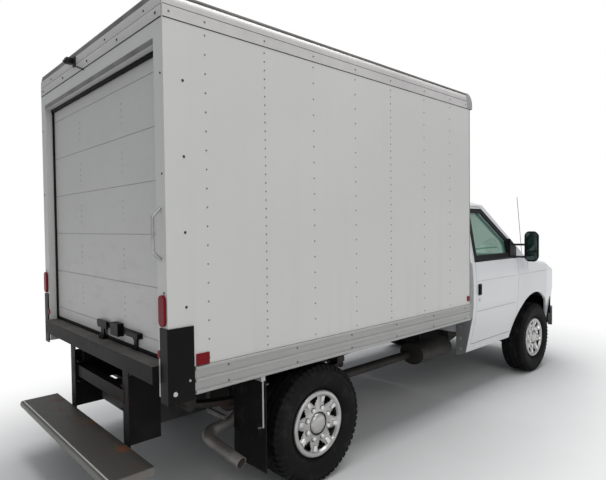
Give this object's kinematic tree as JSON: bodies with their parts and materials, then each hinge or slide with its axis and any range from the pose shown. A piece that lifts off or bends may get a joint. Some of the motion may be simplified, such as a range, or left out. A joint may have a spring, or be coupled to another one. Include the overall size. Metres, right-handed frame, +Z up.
{
  "type": "cutaway van with box body",
  "caption": "Cutaway van cab on a ladder frame with an aluminium box body, roll-up rear door and drop step; wheels, steering, doors and hood move.",
  "frame": {"origin": "on the ground, midway along the whole length, on the centre plane", "axes": "+X forward, +Y to the left (driver's) side, +Z up"},
  "size_m": [5.595, 2.42, 2.8721],
  "materials": {
    "body_white": "gloss white paint, slightly weathered",
    "box_white": "prepainted white aluminium sheet",
    "rail_aluminium": "white-coated extruded aluminium",
    "post_aluminium": "mill-finish extruded aluminium",
    "roof_sheet": "plain aluminium sheet",
    "door_white": "white laminated panels",
    "steel_black": "semi-matt black chassis paint",
    "boot_black": "black painted steel plate",
    "cast_grey": "dark grey cast metal with light rust",
    "spring_steel": "dark painted spring steel",
    "engine_grey": "plain cast grey",
    "exhaust_rust": "heat-rusted steel tube",
    "tank_black": "matt black moulded shell",
    "step_steel": "worn grey-brown steel tread",
    "bumper_grey": "dark grey paint",
    "grille_grey": "dark grey moulded plastic",
    "mirror_black": "matt black moulded housing",
    "dash_grey": "grey textured plastic",
    "seat_fabric": "grey woven fabric",
    "wheel_black": "black grained rim",
    "cover_silver": "silver painted plastic and steel",
    "tyre": "black tread rubber",
    "flap_rubber": "black rubber sheet",
    "glass": "green tinted glass",
    "lamp_clear": "clear lamp lens",
    "lamp_amber": "amber lens",
    "lamp_red": "dark red lens",
    "zinc": "zinc-plated steel",
    "bracket_grey": "grey primed steel plate"
  },
  "bodies": {
    "van": {"frame": "steel_black", "leaf_springs": "spring_steel", "rear_axle": "cast_grey", "front_suspension": "cast_grey", "driveline": "engine_grey", "fuel_tank": "tank_black", "exhaust": "exhaust_rust", "cab_body": "body_white", "fenders": "body_white", "windscreen": "glass", "grille": "grille_grey", "headlamps": "lamp_clear", "turn_lamps": "lamp_amber", "front_bumper": "bumper_grey", "seat_pedestals": "steel_black", "seats": "seat_fabric", "dashboard": "dash_grey", "steering_wheel": "wheel_black", "box_floor": "steel_black", "floor_crossmembers": "steel_black", "floor_sills": "steel_black", "front_rail": "rail_aluminium", "cab_back_plates": "bracket_grey", "box_sides": "box_white", "box_front": "box_white", "corner_posts": "post_aluminium", "roof_rails": "rail_aluminium", "box_roof": "roof_sheet", "side_rails": "rail_aluminium", "rear_frame": "box_white", "rear_sill": "steel_black", "roll_door": "door_white", "door_latch": "boot_black", "corner_boots": "boot_black", "step_supports": "steel_black", "drop_step": "step_steel", "mud_flaps": "flap_rubber", "flap_hangers": "zinc", "tail_lamps": "lamp_red", "marker_lamps": "lamp_red", "grab_handle": "zinc", "antenna": "steel_black"},
    "road_wheel_front_right": {"tyre_front_right": "tyre", "wheel_front_right": "cover_silver"},
    "road_wheel_front_left": {"tyre_front_left": "tyre", "wheel_front_left": "cover_silver"},
    "road_wheel_rear_right": {"tyre_rear_right": "tyre", "wheel_rear_right": "cover_silver"},
    "road_wheel_rear_left": {"tyre_rear_left": "tyre", "wheel_rear_left": "cover_silver"},
    "steering_knuckle_right": {"knuckle_right": "cast_grey"},
    "cab_door_right": {"door_right": "body_white", "door_glass_right": "glass", "mirror_right": "mirror_black"},
    "steering_knuckle_left": {"knuckle_left": "cast_grey"},
    "cab_door_left": {"door_left": "body_white", "door_glass_left": "glass", "mirror_left": "mirror_black"},
    "front_hood": {"hood": "body_white"}
  },
  "joints": [
    {"name": "steer_right", "type": "hinge", "parent": "van", "child": "steering_knuckle_right", "pos_m": [2.0275, -0.735, 0.367], "axis": [0, 0, 1], "range_deg": [-30, 30]},
    {"name": "steer_left", "type": "hinge", "parent": "van", "child": "steering_knuckle_left", "pos_m": [2.0275, 0.735, 0.367], "axis": [0, 0, 1], "range_deg": [-30, 30]},
    {"name": "roll_front_right", "type": "hinge", "parent": "steering_knuckle_right", "child": "road_wheel_front_right", "pos_m": [2.0275, -0.851, 0.387], "axis": [0, 1, 0], "continuous": true},
    {"name": "roll_front_left", "type": "hinge", "parent": "steering_knuckle_left", "child": "road_wheel_front_left", "pos_m": [2.0275, 0.851, 0.387], "axis": [0, 1, 0], "continuous": true},
    {"name": "roll_rear_right", "type": "hinge", "parent": "van", "child": "road_wheel_rear_right", "pos_m": [-1.4775, -0.895, 0.387], "axis": [0, 1, 0], "continuous": true},
    {"name": "roll_rear_left", "type": "hinge", "parent": "van", "child": "road_wheel_rear_left", "pos_m": [-1.4775, 0.895, 0.387], "axis": [0, 1, 0], "continuous": true},
    {"name": "door_swing_right", "type": "hinge", "parent": "van", "child": "cab_door_right", "pos_m": [1.5135, -0.997, 1], "axis": [0, 0, 1], "range_deg": [0, 55]},
    {"name": "door_swing_left", "type": "hinge", "parent": "van", "child": "cab_door_left", "pos_m": [1.5135, 0.997, 1], "axis": [0, 0, -1], "range_deg": [0, 55]},
    {"name": "hood_lift", "type": "hinge", "parent": "van", "child": "front_hood", "pos_m": [1.9005, 0, 1.298], "axis": [0, -1, 0], "range_deg": [0, 50]}
  ],
  "couplings": [
    {"joint": "steer_left", "follows": "steer_right", "ratio": 1}
  ]
}
